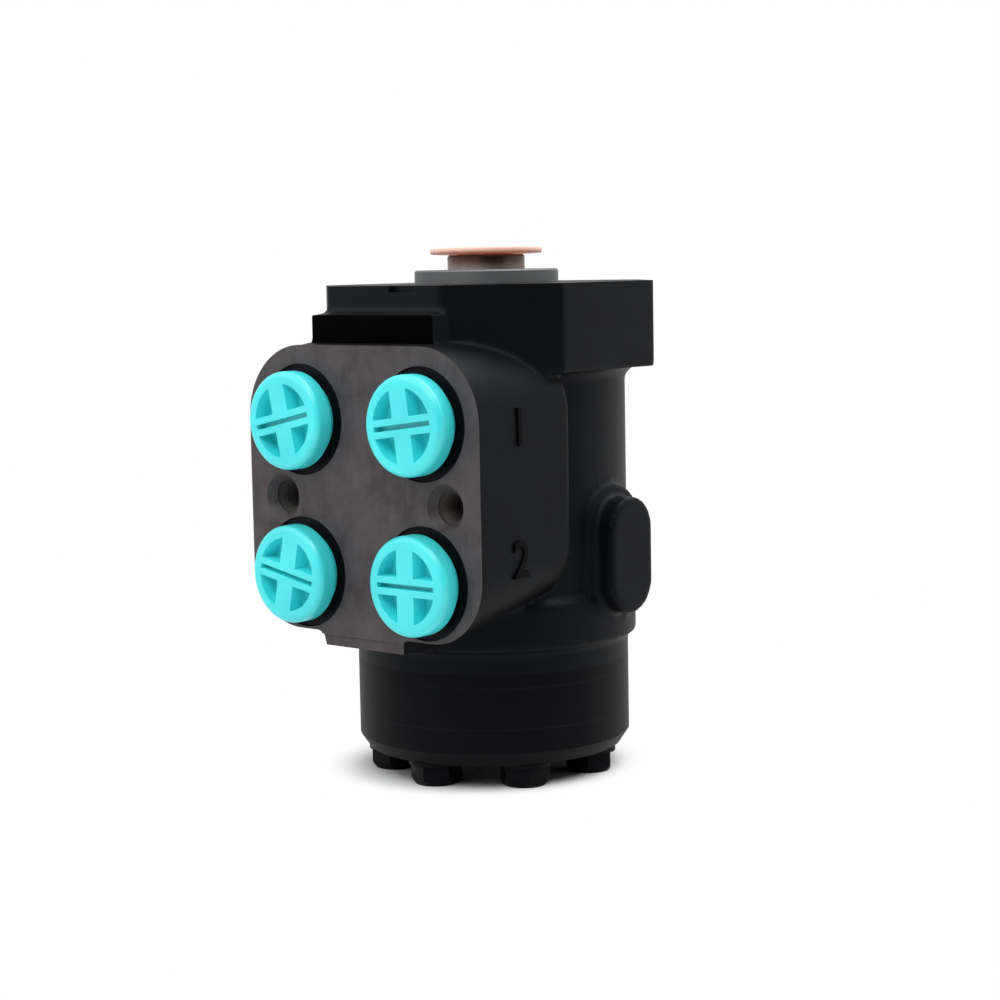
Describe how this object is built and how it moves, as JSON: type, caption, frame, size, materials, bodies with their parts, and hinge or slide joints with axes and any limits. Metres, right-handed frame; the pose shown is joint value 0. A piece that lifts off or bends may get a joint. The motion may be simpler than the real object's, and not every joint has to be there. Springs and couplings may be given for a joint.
{
  "type": "orbital steering unit",
  "caption": "Hydraulic steering unit with square mounting flange, port face with plugged threaded ports, rotary spool valve, gear set and bolted end cover.",
  "frame": {"origin": "centre of the mounting flange's top face, on the spool's axis", "axes": "+Z along the spool to the steering column, -Y out of the port face"},
  "size_m": [0.1023, 0.1186, 0.1685],
  "materials": {
    "black_cast_iron": "satin black paint over cast iron",
    "black_plate": "satin black paint over ground steel",
    "black_ring": "satin black paint over turned steel",
    "black_cover": "satin black paint over turned steel",
    "black_bolts": "black paint over steel bolts",
    "black_washers": "black paint over soft steel washers",
    "ground_steel": "ground",
    "hardened_sleeve": "ground",
    "bearing_steel": "polished",
    "cage_steel": "pressed",
    "spring_steel": "blued",
    "forged_steel": "dark machined",
    "gear_steel": "ground",
    "black_rubber": "matt",
    "seal_ring": "filled PTFE",
    "turquoise_plastic": "moulded polyethylene",
    "salmon_plastic": "moulded polyethylene"
  },
  "bodies": {
    "housing_body": {"housing": "black_cast_iron", "dust_seal": "black_rubber", "shaft_seal": "seal_ring", "seal_o_ring": "black_rubber", "upper_race": "bearing_steel", "distributor_plate": "black_plate", "stator_ring": "black_ring", "end_cover": "black_cover", "cover_bolts": "black_bolts", "special_bolt": "black_bolts", "bolt_washers": "black_washers", "housing_o_ring": "black_rubber", "plate_o_ring": "black_rubber", "cover_o_ring": "black_rubber", "ball_bushing": "forged_steel"},
    "sleeve_body": {"sleeve": "hardened_sleeve", "cross_pin": "bearing_steel", "centring_springs": "spring_steel", "spring_ring": "spring_steel", "lower_race": "bearing_steel"},
    "spool_body": {"spool": "ground_steel"},
    "cap_body": {"spline_cap": "salmon_plastic"},
    "bearing_body": {"needle_cage": "cage_steel", "needles": "bearing_steel"},
    "orbit_body": {"spacer": "gear_steel"},
    "rotor_body": {"rotor": "gear_steel"},
    "link_body": {"drive_link": "forged_steel"},
    "ball_body": {"check_ball": "bearing_steel"},
    "plug_lower_left_body": {"plug_lower_left": "turquoise_plastic"},
    "plug_lower_right_body": {"plug_lower_right": "turquoise_plastic"},
    "plug_upper_left_body": {"plug_upper_left": "turquoise_plastic"},
    "plug_upper_right_body": {"plug_upper_right": "turquoise_plastic"}
  },
  "joints": [
    {"name": "sleeve_spin", "type": "hinge", "parent": "housing_body", "child": "sleeve_body", "pos_m": [0, 0, -0.042], "axis": [0, 0, 1], "continuous": true},
    {"name": "spool_twist", "type": "hinge", "parent": "sleeve_body", "child": "spool_body", "pos_m": [0, 0, -0.042], "axis": [0, 0, 1], "range_deg": [-8, 8], "stiffness_Nm_per_rad": 12, "deforming": ["centring_springs"]},
    {"name": "cap_lift", "type": "slide", "parent": "spool_body", "child": "cap_body", "axis": [0, 0, 1], "range_m": [0, 0.02]},
    {"name": "cage_spin", "type": "hinge", "parent": "housing_body", "child": "bearing_body", "pos_m": [0, 0, -0.01445], "axis": [0, 0, 1], "continuous": true},
    {"name": "orbit_spin", "type": "hinge", "parent": "housing_body", "child": "orbit_body", "pos_m": [0, 0, -0.1307], "axis": [0, 0, 1], "continuous": true},
    {"name": "rotor_spin", "type": "hinge", "parent": "orbit_body", "child": "rotor_body", "pos_m": [-0.0003, 0.00329, -0.1307], "axis": [0, 0, 1], "continuous": true},
    {"name": "link_spin", "type": "hinge", "parent": "orbit_body", "child": "link_body", "pos_m": [0, 0, -0.042], "axis": [0.0034, -0.037, 0.9993], "continuous": true},
    {"name": "ball_lift", "type": "slide", "parent": "housing_body", "child": "ball_body", "axis": [0, 0, 1], "range_m": [0, 0.00135]},
    {"name": "plug_lower_left_out", "type": "slide", "parent": "housing_body", "child": "plug_lower_left_body", "axis": [0, -1, 0], "range_m": [0, 0.025]},
    {"name": "plug_lower_right_out", "type": "slide", "parent": "housing_body", "child": "plug_lower_right_body", "axis": [0, -1, 0], "range_m": [0, 0.025]},
    {"name": "plug_upper_left_out", "type": "slide", "parent": "housing_body", "child": "plug_upper_left_body", "axis": [0, -1, 0], "range_m": [0, 0.025]},
    {"name": "plug_upper_right_out", "type": "slide", "parent": "housing_body", "child": "plug_upper_right_body", "axis": [0, -1, 0], "range_m": [0, 0.025]}
  ],
  "couplings": [
    {"joint": "cage_spin", "follows": "sleeve_spin", "ratio": 0.5},
    {"joint": "orbit_spin", "follows": "sleeve_spin", "ratio": -6},
    {"joint": "rotor_spin", "follows": "sleeve_spin", "ratio": 7},
    {"joint": "link_spin", "follows": "sleeve_spin", "ratio": 7}
  ]
}
